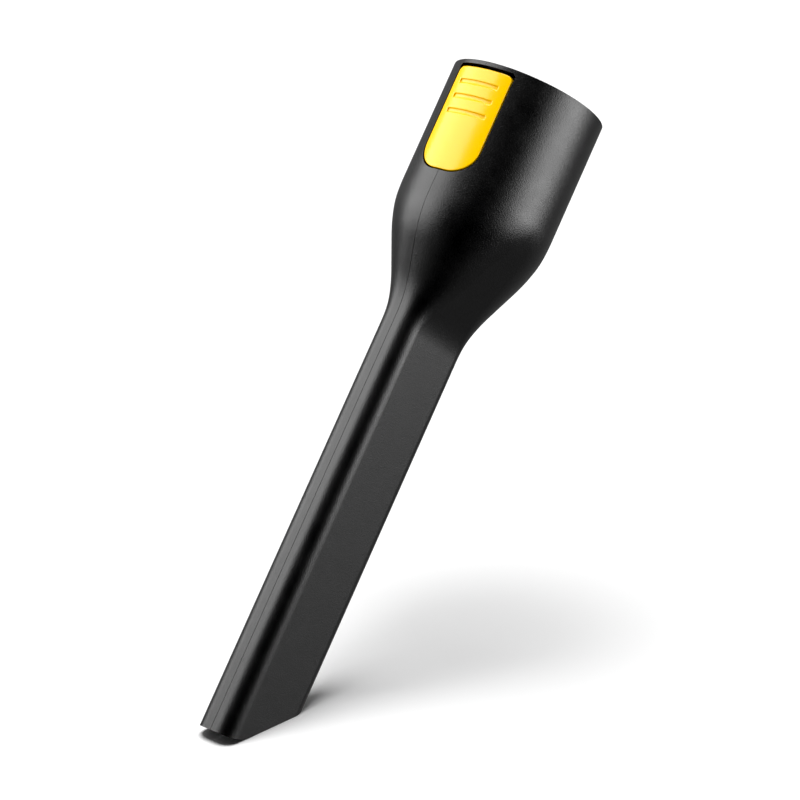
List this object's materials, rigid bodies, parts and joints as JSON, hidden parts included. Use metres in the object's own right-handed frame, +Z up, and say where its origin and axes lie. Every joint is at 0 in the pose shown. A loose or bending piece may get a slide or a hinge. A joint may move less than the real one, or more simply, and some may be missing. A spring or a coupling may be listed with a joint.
{
  "type": "vacuum crevice nozzle",
  "caption": "Long flat crevice nozzle for a handheld vacuum, with a round tube socket, a slanted suction tip and a rocking lock release button.",
  "frame": {"origin": "centre of the round socket's mouth, where the suction tube enters", "axes": "+Z up with the slanted suction opening level at the bottom; the nozzle leans 36.8 degrees from +Z towards +X at its socket end; the release button faces -X and up; the wide faces are towards -Y and +Y"},
  "size_m": [0.163, 0.05, 0.1845],
  "materials": {
    "black_shell": "fine spark-eroded grain, satin",
    "yellow_button": "smooth, semi-gloss",
    "inner_plastic": "smooth moulded",
    "seal_rubber": "soft matt",
    "steel": "bright drawn wire"
  },
  "bodies": {
    "nozzle": {"left_half_shell": "black_shell", "right_half_shell": "black_shell", "socket_sleeve": "inner_plastic", "tube_seal": "seal_rubber", "sleeve_gasket": "seal_rubber", "pivot_pin": "steel", "return_spring": "steel"},
    "rocker": {"release_button": "yellow_button", "latch_lever": "inner_plastic"}
  },
  "joints": [
    {"name": "button_rock", "type": "hinge", "parent": "nozzle", "child": "rocker", "pos_m": [-0.02688, 0, -0.00237], "axis": [0, 1, 0], "range_deg": [0, 7.5], "stiffness_Nm_per_rad": 0.25, "springref_deg": -6.88, "deforming": ["return_spring"]}
  ]
}
